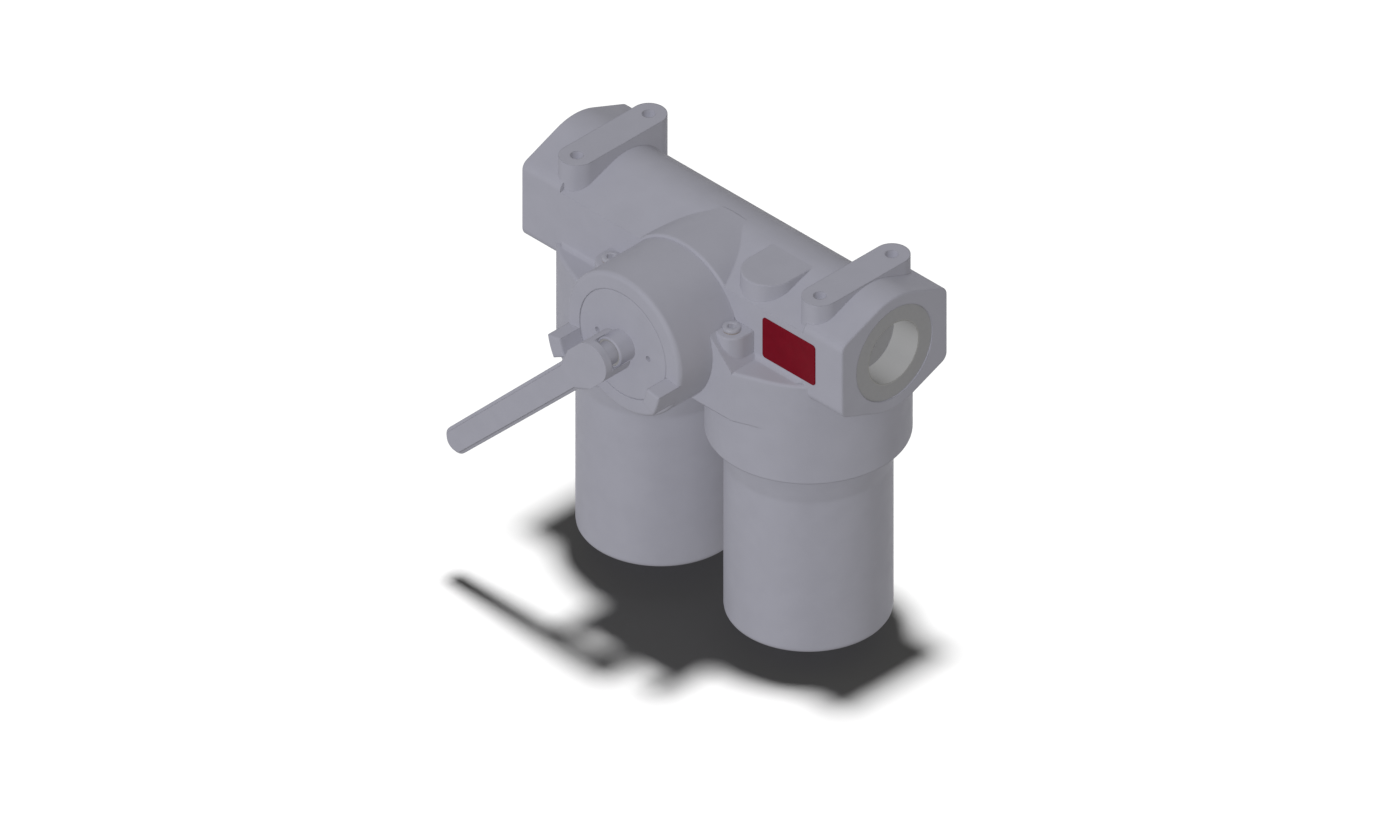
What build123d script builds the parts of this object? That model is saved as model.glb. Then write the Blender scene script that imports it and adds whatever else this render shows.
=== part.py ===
from build123d import *
import math
import os

# Duplex change-over filter: one cast head, two screw-in bowls, a rotary valve between them.
# Millimetres. The origin is the centre of the four top mounting holes, on the plane of the
# mounting bars. +Z is up, +X runs to the outlet port, and -Y is the side of the lever.

# Pipe ports, one in each end face, with the core of a G 1 1/2 inside thread
body_length = 290.0
port_drop = 44.0
port_bore_radius = 22.42
port_thread_depth = 23.6
port_spot_radius = 34.5
port_spot_depth = 1.0
port_passage_radius = 15.0
port_passage_forward = 4.5
port_passage_rise = 2.5

# Cast body round the port axis
end_block_length = 35.0
end_block_radius = 43.2
end_block_slope = 22.0
end_block_corner = 7.0
end_block_edge = 1.2
body_half_depth = 47.7
tube_radius = 37.1
roof_slope = 20.0
wall_foot_drop = 90.0

# Mounting bars with four M10 core holes
mount_spacing_x = 220.0
mount_spacing_y = 65.0
mount_bar_setback = 3.2
mount_bar_height = 38.0
mount_hole_radius = 4.25
mount_hole_depth = 16.0

# Bowl sockets
bowl_spacing = 134.0
socket_radius = 66.75
socket_bottom_drop = 138.7
socket_roof_drop = 102.0
seal_bore_length = 13.5
shelf_drop = 62.2
shelf_rim_fillet = 2.0
shelf_wall_fillet = 4.0
lobe_forward = 71.2
lobe_corner_x = 68.4
lobe_bottom_drop = 100.0
lobe_rise_slope = 45.0
spigot_radius = 20.0
spigot_bore_radius = 14.5
spigot_length = 24.0
vessel_fit = 0.25
web_width = 6.5
web_depth = 28.0
web_back_step = 4.0

# Valve drum, its axis along Y at X = 0; forward distances count towards the lever
valve_drop = 59.1
drum_radius = 51.2
drum_front = 101.1
drum_rim_fillet = 3.0
rear_drum_radius = 53.4
rear_drum_fillet = 1.5
chamber_radius = 38.0
chamber_margin = 8.5
cover_radius = 39.0
cover_thickness = 10.1
cover_chamfer = 0.6
cover_seal_step = 4.0
stop_inner_radius = 39.7
stop_length = 17.9
stop_angle = 18.5
stop_clearance_angle = 1.5
stop_edge = 1.2
throw_angle = 90.0
rest_angle = 225.0

# Flow passages between the valve chamber and the vessels
dirty_port_radius = 9.0
dirty_port_x = 27.0
dirty_port_forward = 8.0
clean_port_radius = 10.0
clean_port_forward = 60.2
outlet_turn_x = 74.0
outlet_turn_radius = 13.0

# Vent bosses and the clogging indicator's boss
vent_x = 54.6
vent_forward = 57.0
vent_boss_radius = 10.6
vent_boss_edge = 1.2
vent_top_drop = 42.3
vent_thread_radius = 4.25
vent_thread_depth = 14.0
vent_drill_radius = 1.6
vent_seat_gap = 0.6
vent_seal_height = 0.8
vent_screw_length = 10.0
vent_collar_radius = 6.2
vent_collar_height = 2.4
vent_key = 5.0
indicator_x = 58.9
indicator_forward = 27.5
indicator_radius = 18.6
indicator_top_drop = 7.4
indicator_edge = 0.8

# Bare plate on the front wall
label_boss_gap = 8.35
label_height = 31.0
label_end_gap = 23.95
label_shelf_gap = 4.1
label_thickness = 0.8
label_corner = 2.5

# Filter bowl
bowl_radius = 54.5
bowl_wall = 5.0
bowl_bottom_drop = 280.3
bowl_floor = 6.0
bowl_edge_fillet = 4.0
bowl_cone_drop = 162.1
bowl_shoulder_radius = 59.5
bowl_shoulder_gap = 0.5
bowl_neck_radius = 58.0
seal_land_radius = 55.0
bowl_top_gap = 2.5
bowl_hex_flats = 36.0
bowl_hex_height = 13.7
drain_thread_radius = 6.58
drain_seal_height = 1.5
drain_head_flats = 19.0
drain_head_height = 6.5
drain_stem_length = 14.0

# Filter element
element_radius = 45.0
element_top_gap = 6.0
element_floor_gap = 12.3
cap_thickness = 6.0
cap_rim_height = 4.0
cap_rim_wall = 1.5
cap_collar_length = 18.0
cap_collar_radius = 23.6
core_radius = 25.2
core_wall = 1.0
core_window_rows = 6
core_window_height = 12.0
core_window_width = 12.0
pleat_count = 36
pleat_tip_radius = 43.2
pleat_root_radius = 25.6
pleat_fold = 4.6
pleat_flat = 0.22

# Bypass valve in the bottom cap of the element
seat_radius = 10.0
poppet_radius = 12.5
poppet_thickness = 2.5
poppet_nose_height = 4.0
poppet_stem_radius = 3.0
cage_radius = 20.0
cage_height = 30.0
cage_plate = 3.0
cage_leg_width = 4.0
spring_radius = 7.0
spring_wire_radius = 0.8
spring_turns = 5

# Valve internals
shaft_radius = 8.0
journal_radius = 10.0
rotor_fit = 0.1
rotor_rear_gap = 2.0
rotor_front_gap = 3.0
rotor_disc = 4.0
rotor_disc_relief = 0.4
rotor_hub_radius = 14.0
shutter_inner_radius = 28.0
shutter_half_angle = 33.0
level_split = 32.0
bush_wall = 1.55
bush_fit = 0.05
rear_bush_length = 10.0
neck_radius = 11.0
neck_length = 12.8
neck_chamfer = 0.8
shaft_seal_step = 3.0
front_bush_step = 6.0
spanner_pitch = 23.0
spanner_hole_radius = 2.0
spanner_hole_depth = 6.0
pin_radius = 2.5
rotor_pin_offset = 10.0
circlip_thickness = 1.1
circlip_radius = 10.8

# Lever
hub_radius = 14.4
hub_front = 130.6
hub_back = 108.5
hub_plate = 5.6
hub_shoulder = 14.6
arm_start = 29.6
arm_root_half_width = 10.4
arm_tip_half_width = 9.6
arm_length = 183.0
arm_back = 110.4
arm_tip_front = 123.5
ledge_width = 2.2
ledge_depth = 3.0
fork_clearance = 0.3
tang_half_width = 5.0
tang_length = 3.0
tang_fit = 0.1

# O-ring cords and their grooves
large_cord_radius = 1.5
small_cord_radius = 1.1
groove_play = 0.1

half_length = body_length / 2
mount_bar_radius = body_half_depth - mount_bar_setback - mount_spacing_y / 2
block_start = half_length - end_block_length
bowl_x = bowl_spacing / 2
port_z = -port_drop
valve_z = -valve_drop
thread_top_drop = socket_roof_drop + seal_bore_length
bowl_top_drop = socket_roof_drop + bowl_top_gap
element_top_drop = socket_roof_drop + element_top_gap
element_bottom_drop = bowl_bottom_drop - bowl_floor - element_floor_gap
label_width = half_length - label_end_gap - (vent_x + vent_boss_radius + label_boss_gap)
label_x = half_length - label_end_gap - label_width / 2
label_z = -shelf_drop + label_shelf_gap + label_height / 2
cover_back = drum_front - cover_thickness
neck_front = drum_front + neck_length
passage_z = port_z + port_passage_rise
chamber_rear = port_passage_forward - port_passage_radius - chamber_margin
rotor_rear = chamber_rear + rotor_rear_gap
rotor_front = cover_back - rotor_front_gap
rotor_radius = chamber_radius - rotor_fit
shaft_end = hub_front - hub_plate
rotor_pin_z = level_split + rotor_pin_offset
lever_pin_z = (neck_front + shaft_end) / 2
reach = 2 * body_length


def along_x(radius, start, end, y, z):
    """Round bar along X from start to end."""
    return extrude(Plane(origin=(start, y, z), z_dir=(1, 0, 0)) * Circle(radius), amount=end - start)


def along_z(radius, low, high, x=0.0, y=0.0):
    """Round bar along Z from low to high."""
    return Pos(x, y, (low + high) / 2) * Cylinder(radius, high - low)


def tube_z(outer, inner, low, high):
    """Plain ring round Z."""
    return along_z(outer, low, high) - along_z(inner, low, high)


def between(low, high):
    """Box from its low corner to its high corner."""
    size = [high[i] - low[i] for i in range(3)]
    centre = [(high[i] + low[i]) / 2 for i in range(3)]
    return Pos(*centre) * Box(*size)


def drilled(radius, start, end):
    """Round bar from one point to another."""
    way = Vector(*end) - Vector(*start)
    return extrude(Plane(origin=start, z_dir=way) * Circle(radius), amount=way.length)


def turned(points):
    """Solid turned round Z from (radius, height) points."""
    return revolve(Plane.XZ * make_face(Polyline(*points, close=True)), Axis.Z)


def o_ring(ring_radius, cord_radius, height):
    """O-ring round Z with its centre plane at a height."""
    return Pos(0, 0, height) * Torus(ring_radius, cord_radius)


def hexagon(flats, low, high):
    """Hexagon prism round Z, sized across its flats."""
    outline = RegularPolygon(flats / math.sqrt(3), 6)
    return extrude(Pos(0, 0, low) * outline, amount=high - low)


def at_valve(piece):
    """Turns a piece built round Z into the valve's frame: its Z becomes forward, its Y up."""
    return Pos(0, 0, valve_z) * Rot(90, 0, 0) * piece


def at_bowl(side, piece):
    """Moves a piece built round Z to the left (-1) or right (1) vessel."""
    return Pos(side * bowl_x, 0, 0) * piece


def sector(inner, outer, start_angle, end_angle, low, high):
    """Part of a ring round Z between two angles, in degrees."""
    span = end_angle - start_angle
    section = Pos((inner + outer) / 2, (low + high) / 2) * Rectangle(outer - inner, high - low)
    return Rot(0, 0, start_angle) * revolve(Plane.XZ * section, Axis.Z, span)


def end_block_outline():
    """Section of the end blocks: an arc over the port, two sloping roofs and flat sides."""
    slope = math.radians(end_block_slope)
    apex = end_block_radius / math.cos(slope)
    corner = apex - body_half_depth * math.tan(slope)
    points = [
        (-body_half_depth, -corner),
        (0, -apex),
        (body_half_depth, -corner),
        (body_half_depth, corner),
        (0, apex),
        (-body_half_depth, corner),
    ]
    outline = make_face(Polyline(*points, close=True))
    crowns = outline.vertices().filter_by(lambda v: abs(v.X) < 1)
    outline = fillet(crowns, end_block_radius)
    corners = outline.vertices().filter_by(lambda v: abs(v.X) > body_half_depth - 1)
    return fillet(corners, end_block_corner)


def front_wall_outline():
    """Section of the body between the blocks: a roof plane tangent to the tube and a front wall."""
    slope = math.radians(roof_slope)
    eave = (tube_radius - body_half_depth * math.sin(slope)) / math.cos(slope)
    foot = port_drop - wall_foot_drop
    points = [
        (-tube_radius * math.sin(slope), tube_radius * math.cos(slope)),
        (-body_half_depth, eave),
        (-body_half_depth, foot),
        (tube_radius, foot),
        (tube_radius, 0),
        (0, 0),
    ]
    return make_face(Polyline(*points, close=True))


def cast_body():
    """Tube, front wall and the two end blocks, all round the port axis."""
    axis_plane = Plane(origin=(0, 0, port_z), x_dir=(0, 1, 0), z_dir=(1, 0, 0))
    wall = extrude(axis_plane * front_wall_outline(), amount=block_start, both=True)
    body = wall + along_x(tube_radius, -block_start, block_start, 0, port_z)
    block = Pos(block_start, 0, 0) * extrude(axis_plane * end_block_outline(), amount=end_block_length)
    block = fillet(block.faces().sort_by(Axis.X)[-1].edges(), end_block_edge)
    return body + block + mirror(block, Plane.YZ)


def socket_outline():
    """Plan of the right socket above its foot: the round barrel with a flat-fronted lobe at the drum."""
    inner_x = drum_radius / 2
    inner_y = math.sqrt(socket_radius ** 2 - (bowl_x - inner_x) ** 2)
    corner_x = lobe_corner_x - bowl_x
    corner_turn = math.atan2(-lobe_forward, corner_x)
    touch = corner_turn + math.acos(socket_radius / math.hypot(corner_x, lobe_forward))
    touch_point = (bowl_x + socket_radius * math.cos(touch), socket_radius * math.sin(touch))
    outline = [
        Polyline((inner_x, -inner_y), (inner_x, -lobe_forward), (lobe_corner_x, -lobe_forward), touch_point),
        ThreePointArc(touch_point, (bowl_x, socket_radius), (inner_x, -inner_y)),
    ]
    return make_face(outline)


def shelf_rise():
    """Part of the lobe that rises from the level shelf to the drum."""
    run = (shelf_drop - vent_top_drop) / math.tan(math.radians(lobe_rise_slope))
    inner_x = drum_radius / 2
    side = make_face(Polyline(
        (inner_x, -lobe_bottom_drop),
        (lobe_corner_x, -lobe_bottom_drop),
        (lobe_corner_x, -shelf_drop),
        (lobe_corner_x - run, -vent_top_drop),
        (inner_x, -vent_top_drop),
        close=True,
    ))
    return extrude(Plane.XZ * side, amount=lobe_forward)


def shelf_corner():
    """Concave corner between the shelf and the front wall, its curve sunk a little into both."""
    sink = shelf_wall_fillet / 30
    centre = shelf_wall_fillet - sink
    size = centre + 2 * sink
    section = Pos(centre - size / 2, centre - size / 2) * Rectangle(size, size)
    section -= Pos(centre, centre) * Circle(shelf_wall_fillet)
    corner_plane = Plane(origin=(0, -body_half_depth, -shelf_drop), x_dir=(0, -1, 0), z_dir=(-1, 0, 0))
    along_wall = extrude(corner_plane * section, amount=reach, both=True)
    inside_rim = socket_radius - 1.5 * shelf_rim_fillet
    return along_wall & along_z(inside_rim, -lobe_bottom_drop, 0, bowl_x)


def socket_solid():
    """Right bowl socket: a cylinder under a level shelf, with the lobe that leads to the drum."""
    upper = extrude(Pos(0, 0, -lobe_bottom_drop) * socket_outline(), amount=lobe_bottom_drop - shelf_drop)
    upper = fillet(upper.edges().group_by(Axis.Z)[-1], shelf_rim_fillet)
    barrel = along_z(socket_radius, -socket_bottom_drop, -lobe_bottom_drop, bowl_x)
    return barrel + upper + shelf_rise() + shelf_corner()


def mounting_bar():
    """Bar along Y that carries two of the mounting holes."""
    bar = SlotCenterToCenter(mount_spacing_y, 2 * mount_bar_radius, rotation=90)
    return extrude(bar, amount=-mount_bar_height)


def vent_boss():
    """Flat-topped tongue that carries the right vent screw, from the front wall over the shelf."""
    run = vent_forward - body_half_depth + 1.0
    tongue = Circle(vent_boss_radius) + Pos(0, run / 2) * Rectangle(2 * vent_boss_radius, run)
    height = shelf_drop - vent_top_drop + 1.0
    boss = extrude(Pos(vent_x, -vent_forward, -shelf_drop - 1.0) * tongue, amount=height)
    return fillet(boss.edges().group_by(Axis.Z)[-1], vent_boss_edge)


def indicator_boss():
    """Flat-topped tongue for the clogging indicator, on the right side only."""
    tongue = Pos(indicator_x, -indicator_forward) * Circle(indicator_radius)
    tongue += Pos(indicator_x, -indicator_forward / 2) * Rectangle(2 * indicator_radius, indicator_forward)
    boss = extrude(Pos(0, 0, port_z) * tongue, amount=port_drop - indicator_top_drop)
    return fillet(boss.edges().group_by(Axis.Z)[-1], indicator_edge)


def lever_stops():
    """Two lugs on the drum's face that end the lever's throw."""
    arm_angle = math.degrees(math.asin(arm_root_half_width / stop_inner_radius))
    inner_edge = arm_angle + stop_clearance_angle
    low = drum_front - drum_rim_fillet
    high = drum_front + stop_length
    first_end = rest_angle - inner_edge
    second_start = rest_angle + throw_angle + inner_edge
    first = sector(stop_inner_radius, drum_radius, first_end - stop_angle, first_end, low, high)
    second = sector(stop_inner_radius, drum_radius, second_start, second_start + stop_angle, low, high)
    lugs = [fillet(lug.edges().group_by(Axis.Z)[-1], stop_edge) for lug in (first, second)]
    return lugs[0] + lugs[1]


def valve_drum():
    """Drum of the change-over valve, in the valve's frame."""
    drum = along_z(drum_radius, 0, drum_front)
    drum = fillet(drum.edges().group_by(Axis.Z)[-1], drum_rim_fillet)
    rear = along_z(rear_drum_radius, 0, body_half_depth)
    rear = fillet(rear.edges().group_by(Axis.Z)[-1], rear_drum_fillet)
    return drum + rear + lever_stops()


def head_outside():
    """The casting before any bore is cut."""
    head = cast_body() + at_valve(valve_drum())
    right = socket_solid() + Pos(mount_spacing_x / 2, 0, 0) * mounting_bar() + vent_boss()
    head = head + right + mirror(right, Plane.YZ)
    drum_low = valve_z - rear_drum_radius
    head += between((-web_width, -web_depth, -socket_bottom_drop), (web_width, web_depth, drum_low + 1.0))
    back = tube_radius - web_back_step
    head += between((-2 * web_width, -web_depth, drum_low), (2 * web_width, back, valve_z))
    return head + indicator_boss()


def vessel_cavity():
    """Room for the neck of a bowl, with the spigot left standing, round Z."""
    thread_bore = bowl_neck_radius + vessel_fit
    seal_bore = seal_land_radius + vessel_fit
    cavity = along_z(thread_bore, -socket_bottom_drop, -thread_top_drop)
    cavity += along_z(seal_bore, -thread_top_drop - 1.0, -socket_roof_drop)
    spigot = along_z(spigot_radius, -socket_roof_drop - spigot_length, -socket_roof_drop)
    return cavity - spigot


def valve_cavity():
    """Chamber, seat of the cover and rear bush hole, in the valve's frame."""
    cavity = along_z(chamber_radius, chamber_rear, cover_back)
    cavity += along_z(cover_radius + rotor_fit, cover_back, drum_front + drum_rim_fillet)
    bush_radius = journal_radius + bush_fit + bush_wall
    return cavity + along_z(bush_radius, chamber_rear - rear_bush_length, chamber_rear)


def port_cut():
    """Spot face, thread core and passage of one port, from the right end inwards."""
    cut = along_x(port_spot_radius, half_length - port_spot_depth, half_length + 1.0, 0, port_z)
    return cut + along_x(port_bore_radius, half_length - port_thread_depth, half_length, 0, port_z)


def flow_passages():
    """Cored ways from the ports to the valve chamber and from there to the vessels."""
    thread_end = half_length - port_thread_depth
    y = -port_passage_forward
    cuts = along_x(port_passage_radius, -thread_end, -chamber_radius / 2, y, passage_z)
    cuts += along_x(port_passage_radius, outlet_turn_x, thread_end, y, passage_z)
    outlet_mouth = (chamber_radius / 2, -clean_port_forward, (port_z + valve_z) / 2)
    cuts += drilled(outlet_turn_radius, (outlet_turn_x, y, passage_z), outlet_mouth)
    for side in (-1, 1):
        dirty_low = -socket_roof_drop - 1.0
        dirty = along_z(dirty_port_radius, dirty_low, valve_z, side * dirty_port_x, -dirty_port_forward)
        riser_top = -socket_roof_drop + clean_port_radius + 5.0
        spigot_end = -socket_roof_drop - spigot_length
        riser = along_z(spigot_bore_radius, spigot_end, riser_top, side * bowl_x)
        clean_mouth = (side * dirty_port_x, -clean_port_forward + 2.0, riser_top + 5.0)
        clean = drilled(clean_port_radius, (side * bowl_x, 0, riser_top), clean_mouth)
        cuts += dirty + riser + clean
    return cuts


def small_holes():
    """Mounting holes, vent threads with their drillings and the seats of the vent screws."""
    cuts = []
    for side in (-1, 1):
        for row in (-1, 1):
            x = side * mount_spacing_x / 2
            y = row * mount_spacing_y / 2
            cuts.append(along_z(mount_hole_radius, -mount_hole_depth, 1.0, x, y))
        x = side * vent_x
        thread_end = -vent_top_drop - vent_thread_depth
        cuts.append(along_z(vent_thread_radius, thread_end, -vent_top_drop + 1.0, x, -vent_forward))
        seat_radius = vent_collar_radius + vent_seat_gap
        cuts.append(along_z(seat_radius, -vent_top_drop, -indicator_top_drop, x, -vent_forward))
        vessel_mouth = (x, -seal_land_radius + 6.0, -socket_roof_drop - 1.0)
        cuts.append(drilled(vent_drill_radius, (x, -vent_forward, thread_end + 1.0), vessel_mouth))
    return cuts


def filter_head():
    """The whole casting."""
    head = head_outside()
    head -= at_valve(valve_cavity())
    head -= port_cut() + mirror(port_cut(), Plane.YZ)
    for side in (-1, 1):
        head -= at_bowl(side, vessel_cavity())
    head -= flow_passages()
    for cut in small_holes():
        head -= cut
    return head


def filter_bowl():
    """Screw-in bowl with a flared shoulder, a neck, a seal groove and a hexagon foot."""
    shoulder = -socket_bottom_drop - bowl_shoulder_gap
    inner = bowl_radius - bowl_wall
    floor_top = -bowl_bottom_drop + bowl_floor
    bowl = turned([
        (0, -bowl_bottom_drop),
        (bowl_radius, -bowl_bottom_drop),
        (bowl_radius, -bowl_cone_drop),
        (bowl_shoulder_radius, shoulder - 1.0),
        (bowl_shoulder_radius, shoulder),
        (bowl_neck_radius, shoulder),
        (bowl_neck_radius, -thread_top_drop - 1.0),
        (seal_land_radius, -thread_top_drop - 1.0),
        (seal_land_radius, -bowl_top_drop),
        (inner, -bowl_top_drop),
        (inner, floor_top),
        (0, floor_top),
    ])
    foot_edge = bowl.edges().filter_by(GeomType.CIRCLE).group_by(Axis.Z)[0]
    bowl = fillet(foot_edge, bowl_edge_fillet)
    hex_bottom = -bowl_bottom_drop - bowl_hex_height
    bowl += hexagon(bowl_hex_flats, hex_bottom, -bowl_bottom_drop)
    bowl -= along_z(drain_thread_radius, hex_bottom, floor_top)
    groove_half = large_cord_radius + groove_play
    groove_floor = seal_land_radius - 2 * large_cord_radius
    groove_z = (-thread_top_drop - bowl_top_drop) / 2
    bowl -= tube_z(seal_land_radius + 1.0, groove_floor, groove_z - groove_half, groove_z + groove_half)
    return bowl


def bowl_o_ring():
    """O-ring in the groove of the bowl's neck."""
    ring_radius = seal_land_radius - large_cord_radius + groove_play
    return o_ring(ring_radius, large_cord_radius, (-thread_top_drop - bowl_top_drop) / 2)


def drain_plug():
    """Hexagon plug in the foot of the bowl."""
    hex_bottom = -bowl_bottom_drop - bowl_hex_height
    head_top = hex_bottom - drain_seal_height
    stem = along_z(drain_thread_radius - bush_fit, head_top, head_top + drain_stem_length)
    return stem + hexagon(drain_head_flats, head_top - drain_head_height, head_top)


def drain_seal():
    """Flat ring between the drain plug and the bowl."""
    hex_bottom = -bowl_bottom_drop - bowl_hex_height
    outer = drain_head_flats / 2 - 0.3
    return tube_z(outer, drain_thread_radius + 0.2, hex_bottom - drain_seal_height, hex_bottom)


def element_top_cap():
    """Top cap with the collar that slides over the spigot and holds the O-ring."""
    top = -element_top_drop
    rim_low = top - cap_thickness - cap_rim_height
    cap = along_z(element_radius, top - cap_thickness, top)
    cap += tube_z(element_radius, element_radius - cap_rim_wall, rim_low, top)
    cap += along_z(cap_collar_radius, top - cap_collar_length, top)
    cap -= along_z(spigot_radius + vessel_fit, top - cap_collar_length, top)
    groove_z = top - cap_collar_length / 2
    groove_half = small_cord_radius + groove_play
    groove_radius = spigot_radius + vessel_fit + 2 * small_cord_radius
    return cap - along_z(groove_radius, groove_z - groove_half, groove_z + groove_half)


def element_o_ring():
    """O-ring between the element and the spigot."""
    ring_radius = spigot_radius + small_cord_radius + groove_play
    return o_ring(ring_radius, small_cord_radius, -element_top_drop - cap_collar_length / 2)


def element_bottom_cap():
    """Bottom cap with the seat of the bypass valve."""
    bottom = -element_bottom_drop
    top = bottom + cap_thickness
    cap = along_z(element_radius, bottom, top)
    cap += tube_z(element_radius, element_radius - cap_rim_wall, bottom, top + cap_rim_height)
    return cap - along_z(seat_radius, bottom, top)


def element_core():
    """Support tube with rows of windows."""
    low = -element_bottom_drop + cap_thickness
    high = -element_top_drop - cap_thickness
    core = tube_z(core_radius, core_radius - core_wall, low, high)
    pitch = (high - low) / core_window_rows
    for row in range(core_window_rows):
        z = low + (row + 0.5) * pitch
        for turn in (0, 60, 120):
            window = Box(2 * core_radius + 2, core_window_width, core_window_height)
            core -= Pos(0, 0, z) * Rot(0, 0, turn + 30 * (row % 2)) * window
    return core


def pleat_ring(tip_radius, root_radius):
    """Closed zigzag line with a small flat at each tip and root."""
    points = []
    step = 2 * math.pi / pleat_count
    for pleat in range(pleat_count):
        for radius, centre in ((tip_radius, 0.25), (root_radius, 0.75)):
            for end in (-pleat_flat, pleat_flat):
                angle = step * (pleat + centre + end / 4)
                points.append((radius * math.cos(angle), radius * math.sin(angle)))
    return make_face(Polyline(*points, close=True))


def element_pleats():
    """Pleated filter mat between the two caps."""
    outline = pleat_ring(pleat_tip_radius, pleat_root_radius + pleat_fold)
    outline -= pleat_ring(pleat_tip_radius - pleat_fold, pleat_root_radius)
    low = -element_bottom_drop + cap_thickness
    high = -element_top_drop - cap_thickness
    return extrude(Pos(0, 0, low) * outline, amount=high - low)


def bypass_cage():
    """Three-legged cage on the bottom cap that guides the poppet's stem."""
    low = -element_bottom_drop + cap_thickness
    high = low + cage_height
    base_radius = poppet_radius + 0.5
    cage = tube_z(cage_radius, base_radius, low, low + poppet_thickness)
    cage += along_z(cage_radius, high - cage_plate, high)
    leg_centre = cage_radius - cage_leg_width / 2 - 0.6
    for turn in (0, 120, 240):
        leg = Pos(leg_centre, 0, (low + high) / 2) * Box(cage_leg_width, cage_leg_width, cage_height)
        cage += Rot(0, 0, turn) * leg
    return cage - along_z(poppet_stem_radius + bush_fit, high - cage_plate, high)


def bypass_poppet():
    """Poppet with a nose in the seat and a stem through the cage."""
    seat = -element_bottom_drop + cap_thickness
    stem_top = seat + cage_height + 2.0
    return turned([
        (0, seat - poppet_nose_height),
        (seat_radius / 2, seat - poppet_nose_height),
        (seat_radius - 0.5, seat),
        (poppet_radius, seat),
        (poppet_radius, seat + poppet_thickness),
        (poppet_stem_radius, seat + poppet_thickness),
        (poppet_stem_radius, stem_top),
        (0, stem_top),
    ])


def bypass_spring():
    """Coil spring between the poppet and the cage."""
    low = -element_bottom_drop + cap_thickness + poppet_thickness + spring_wire_radius
    high = -element_bottom_drop + cap_thickness + cage_height - cage_plate - spring_wire_radius
    path = Helix((high - low) / spring_turns, high - low, spring_radius)
    section = Plane(origin=path @ 0, z_dir=path % 0) * Circle(spring_wire_radius)
    return Pos(0, 0, low) * sweep(section, path, is_frenet=True)


def vent_screw():
    """Screw plug with a round collar and a hexagon socket."""
    seat = -vent_top_drop + vent_seal_height
    screw = along_z(vent_thread_radius - bush_fit, -vent_top_drop - vent_screw_length, seat)
    collar = along_z(vent_collar_radius, seat, seat + vent_collar_height)
    collar = chamfer(collar.edges().group_by(Axis.Z)[-1], neck_chamfer)
    socket = hexagon(vent_key, seat - 1.0, seat + vent_collar_height)
    return Pos(vent_x, -vent_forward, 0) * (screw + collar - socket)


def vent_seal():
    """Flat ring under the collar of the vent screw."""
    outer = vent_collar_radius - 0.4
    ring = tube_z(outer, vent_thread_radius + 0.15, -vent_top_drop, -vent_top_drop + vent_seal_height)
    return Pos(vent_x, -vent_forward, 0) * ring


def label_plate():
    """Bare plate on the front wall."""
    outline = RectangleRounded(label_width, label_height, label_corner)
    wall = Plane(origin=(label_x, -body_half_depth, label_z), x_dir=(1, 0, 0), z_dir=(0, -1, 0))
    return extrude(wall * outline, amount=label_thickness)


def valve_cover():
    """Cover of the valve chamber with its neck and two pin-spanner holes, in the valve's frame."""
    cover = along_z(cover_radius, cover_back, drum_front)
    cover = chamfer(cover.edges().group_by(Axis.Z)[-1], cover_chamfer)
    neck = along_z(neck_radius, drum_front - 1.0, neck_front)
    cover += chamfer(neck.edges().group_by(Axis.Z)[-1], neck_chamfer)
    for side in (-1, 1):
        hole_bottom = drum_front - spanner_hole_depth
        cover -= along_z(spanner_hole_radius, hole_bottom, drum_front, side * spanner_pitch)
    cover -= along_z(shaft_radius + 0.2, cover_back, neck_front)
    cover -= along_z(shaft_radius + bush_fit + bush_wall, cover_back + front_bush_step, neck_front)
    seal_z = cover_back + shaft_seal_step
    seal_half = small_cord_radius + groove_play
    seal_radius = shaft_radius + 2 * small_cord_radius + 3 * groove_play
    cover -= along_z(seal_radius, seal_z - seal_half, seal_z + seal_half)
    rim_z = cover_back + cover_seal_step
    rim_half = large_cord_radius + groove_play
    rim_floor = cover_radius - 2 * large_cord_radius
    return cover - tube_z(cover_radius + 1.0, rim_floor, rim_z - rim_half, rim_z + rim_half)


def cover_o_ring():
    """O-ring round the rim of the cover."""
    ring_radius = cover_radius - large_cord_radius + groove_play / 2
    return o_ring(ring_radius, large_cord_radius, cover_back + cover_seal_step)


def shaft_o_ring():
    """O-ring round the shaft inside the cover."""
    ring_radius = shaft_radius + small_cord_radius + groove_play
    return o_ring(ring_radius, small_cord_radius, cover_back + shaft_seal_step)


def front_bush():
    """Bush of the shaft in the neck of the cover."""
    inner = shaft_radius + bush_fit
    return tube_z(inner + bush_wall, inner, cover_back + front_bush_step, neck_front - neck_chamfer)


def rear_bush():
    """Bush of the shaft behind the chamber."""
    inner = journal_radius + bush_fit
    return tube_z(inner + bush_wall, inner, chamber_rear - rear_bush_length, chamber_rear)


def valve_shaft():
    """Shaft with a rear journal, a ring groove, two cross holes and a square tang."""
    rear = chamber_rear - rear_bush_length + 1.0
    shaft = along_z(journal_radius, rear, level_split + rotor_disc)
    shaft += along_z(shaft_radius, level_split, shaft_end)
    shaft += Pos(0, 0, shaft_end + tang_length / 2) * Rot(0, 0, rest_angle) * Box(
        2 * tang_half_width, 2 * tang_half_width, tang_length)
    groove_z = (rotor_front + cover_back) / 2
    groove_half = circlip_thickness / 2
    shaft -= tube_z(shaft_radius + 1.0, shaft_radius - 0.8, groove_z - groove_half, groove_z + groove_half)
    shaft -= cross_pin(rotor_pin_z, 2 * shaft_radius + 2)
    return shaft - cross_pin(lever_pin_z, 2 * shaft_radius + 2)


def cross_pin(height, length):
    """Pin across the shaft, at right angles to the lever, in the valve's frame."""
    pin = Rot(90, 0, 0) * Cylinder(pin_radius, length)
    return Pos(0, 0, height) * Rot(0, 0, rest_angle) * pin


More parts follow.
